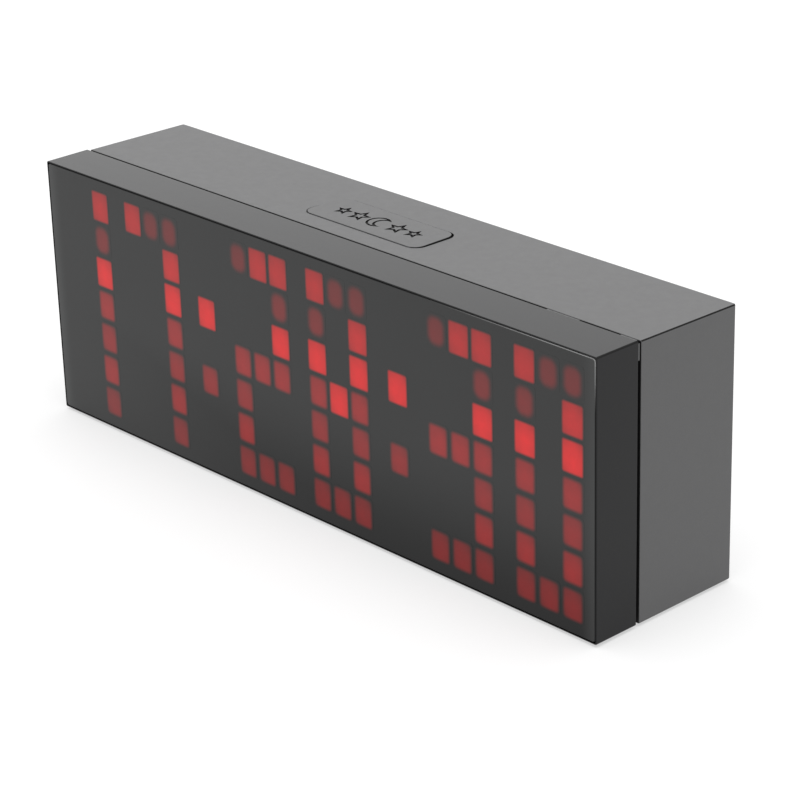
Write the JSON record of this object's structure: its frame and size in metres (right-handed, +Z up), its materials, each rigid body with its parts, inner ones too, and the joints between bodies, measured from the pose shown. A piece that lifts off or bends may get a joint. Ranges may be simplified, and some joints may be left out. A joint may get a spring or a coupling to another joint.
{
  "type": "digital alarm clock",
  "caption": "Long low desk alarm clock with a smoked front over a red dot-matrix display, a snooze bar on top, and setting buttons and a battery door at the back.",
  "frame": {"origin": "on the table under the middle of the clock, at the middle of its length and its depth", "axes": "+X to the right of someone reading the display, +Y from the display to the back, +Z up"},
  "size_m": [0.214, 0.05, 0.0768],
  "materials": {
    "smoked_cover": "smoked plastic, frosted face and polished sides",
    "dark_plastic": "fine satin texture",
    "black_plastic": "moulded, semi-matte",
    "circuit_board": "green solder mask over glass laminate",
    "black_package": "moulded package, matte",
    "diffuser_film": "milky film",
    "plated_steel": "zinc plated",
    "nickel": "nickel plated spring steel",
    "rubber": "matte",
    "cell_jacket": "printed metal jacket, plain colour",
    "ribbon": "flexible PVC",
    "white_nylon": "moulded nylon"
  },
  "bodies": {
    "clock": {"backup_cell_1": "cell_jacket", "backup_cell_2": "cell_jacket", "backup_cell_3": "cell_jacket", "board_connector": "white_nylon", "board_screw_1": "plated_steel", "board_screw_2": "plated_steel", "board_screw_3": "plated_steel", "board_screw_4": "plated_steel", "buzzer": "black_package", "clock_crystal": "plated_steel", "dc_jack": "black_plastic", "diffuser_sheet": "diffuser_film", "display_connector": "white_nylon", "flat_contact_1": "nickel", "flat_contact_2": "nickel", "flat_contact_3": "nickel", "foot_back_left": "rubber", "foot_back_right": "rubber", "foot_front_left": "rubber", "foot_front_right": "rubber", "front_cover": "smoked_cover", "housing_screw_1": "plated_steel", "housing_screw_2": "plated_steel", "housing_screw_3": "plated_steel", "housing_screw_4": "plated_steel", "led_board": "circuit_board", "main_board": "circuit_board", "microcontroller": "black_package", "pixel_grid": "black_plastic", "rear_housing": "dark_plastic", "ribbon_cable": "ribbon", "slide_switch": "nickel", "snooze_board": "circuit_board", "snooze_board_screw_1": "plated_steel", "snooze_board_screw_2": "plated_steel", "snooze_switch": "black_package", "spring_contact_1": "nickel", "spring_contact_2": "nickel", "spring_contact_3": "nickel", "switch_alarm": "black_package", "switch_down": "black_package", "switch_mode": "black_package", "switch_time": "black_package", "switch_up": "black_package"},
    "snooze_button": {"snooze_button": "dark_plastic", "snooze_plunger": "black_plastic"},
    "alarm_slider": {"alarm_slider": "black_plastic"},
    "battery_door": {"battery_door": "dark_plastic"},
    "button_time": {"button_time": "black_plastic", "plunger_time": "black_plastic"},
    "button_alarm": {"button_alarm": "black_plastic", "plunger_alarm": "black_plastic"},
    "button_up": {"button_up": "black_plastic", "plunger_up": "black_plastic"},
    "button_down": {"button_down": "black_plastic", "plunger_down": "black_plastic"},
    "button_mode": {"button_mode": "black_plastic", "plunger_mode": "black_plastic"}
  },
  "joints": [
    {"name": "snooze_press", "type": "slide", "parent": "clock", "child": "snooze_button", "axis": [0, 0, -1], "range_m": [0, 0.0008], "stiffness_N_per_m": 2500, "springref_m": -0.0006},
    {"name": "time_press", "type": "slide", "parent": "clock", "child": "button_time", "axis": [0, -1, 0], "range_m": [0, 0.0005], "stiffness_N_per_m": 2500, "springref_m": -0.0004},
    {"name": "alarm_press", "type": "slide", "parent": "clock", "child": "button_alarm", "axis": [0, -1, 0], "range_m": [0, 0.0005], "stiffness_N_per_m": 2500, "springref_m": -0.0004},
    {"name": "up_press", "type": "slide", "parent": "clock", "child": "button_up", "axis": [0, -1, 0], "range_m": [0, 0.0005], "stiffness_N_per_m": 2500, "springref_m": -0.0004},
    {"name": "down_press", "type": "slide", "parent": "clock", "child": "button_down", "axis": [0, -1, 0], "range_m": [0, 0.0005], "stiffness_N_per_m": 2500, "springref_m": -0.0004},
    {"name": "mode_press", "type": "slide", "parent": "clock", "child": "button_mode", "axis": [0, -1, 0], "range_m": [0, 0.0005], "stiffness_N_per_m": 2500, "springref_m": -0.0004},
    {"name": "alarm_slide", "type": "slide", "parent": "clock", "child": "alarm_slider", "axis": [1, 0, 0], "range_m": [0, 0.003]},
    {"name": "battery_door_tilt", "type": "hinge", "parent": "clock", "child": "battery_door", "pos_m": [-0.038, 0.0247, 0.0157], "axis": [-1, 0, 0], "range_deg": [0, 75]}
  ]
}
